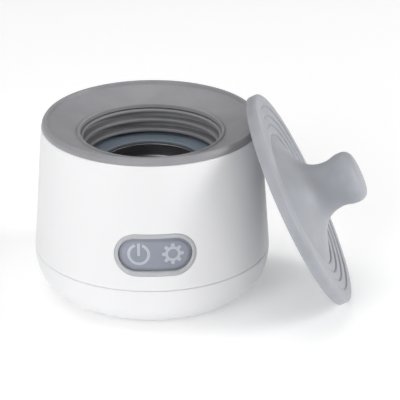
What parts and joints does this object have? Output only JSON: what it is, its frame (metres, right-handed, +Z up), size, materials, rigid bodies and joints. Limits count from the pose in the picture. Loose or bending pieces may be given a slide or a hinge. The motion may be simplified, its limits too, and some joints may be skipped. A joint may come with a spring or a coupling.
{
  "type": "portable bottle warmer",
  "caption": "Squat round battery bottle warmer with a silicone collar, ribbed bottle seal, two-button panel and a knobbed silicone lid leaned on its side.",
  "frame": {"origin": "middle of the foot pad's lower face, on the warmer's axis", "axes": "+Z up along the warmer's axis; the button panel faces -Y; the lid leans on the +X side"},
  "size_m": [0.1348, 0.1074, 0.0833],
  "materials": {
    "shell_plastic": "fine satin",
    "foot_silicone": "matt",
    "screw_steel": "zinc black",
    "inner_plastic": "moulded",
    "cell_wrap": "shrink wrap",
    "nickel": "rolled strip",
    "foam": "closed foam",
    "circuit_board": "solder mask",
    "ferrite": "pressed powder",
    "chip_resin": "moulded resin",
    "capacitor_can": "drawn can",
    "socket_steel": "plated",
    "switch_housing": "moulded",
    "switch_stem": "moulded",
    "lamp_lens": "clear resin",
    "light_ring": "frosted",
    "collar_silicone": "satin silicone",
    "seat_silicone": "frosted silicone",
    "dish_steel": "drawn stainless",
    "film_polyimide": "film",
    "lead_sleeve": "insulated wire",
    "pad_silicone": "satin silicone",
    "mark_silicone": "pale silicone",
    "lid_silicone": "satin silicone"
  },
  "bodies": {
    "warmer": {"foot_pad": "foot_silicone", "base_shell": "shell_plastic", "base_screws": "screw_steel", "battery_tray": "inner_plastic", "battery_cells": "cell_wrap", "battery_tabs": "nickel", "battery_pad": "foam", "chassis": "inner_plastic", "chassis_screws": "screw_steel", "main_board": "circuit_board", "board_screws": "screw_steel", "power_inductor": "ferrite", "board_chips": "chip_resin", "board_capacitors": "capacitor_can", "usb_socket": "socket_steel", "usb_tongue": "chip_resin", "key_board": "circuit_board", "key_board_screws": "screw_steel", "key_switches": "switch_housing", "status_leds": "lamp_lens", "outer_shell": "shell_plastic", "light_guide": "light_ring", "inner_frame": "inner_plastic", "frame_screws": "screw_steel", "top_collar": "collar_silicone", "lip_seal": "collar_silicone", "seat_ring": "seat_silicone", "heating_dish": "dish_steel", "heater_film": "film_polyimide", "thermistor": "chip_resin", "heater_leads": "lead_sleeve", "heater_insulation": "foam", "heater_cover": "inner_plastic", "cover_screws": "screw_steel"},
    "power_button": {"power_key": "pad_silicone", "power_symbol": "mark_silicone", "power_switch_stem": "switch_stem"},
    "settings_button": {"settings_key": "pad_silicone", "settings_symbol": "mark_silicone", "settings_switch_stem": "switch_stem"},
    "lid": {"lid": "lid_silicone"}
  },
  "joints": [
    {"name": "power_press", "type": "slide", "parent": "warmer", "child": "power_button", "axis": [0, 1, 0], "range_m": [0, 0.00035], "stiffness_N_per_m": 1500, "springref_m": -0.0002},
    {"name": "settings_press", "type": "slide", "parent": "warmer", "child": "settings_button", "axis": [0, 1, 0], "range_m": [0, 0.00035], "stiffness_N_per_m": 1500, "springref_m": -0.0002},
    {"name": "lid_lift", "type": "slide", "parent": "warmer", "child": "lid", "axis": [0.8927, -0.0652, 0.4459], "range_m": [0, 0.06]}
  ]
}
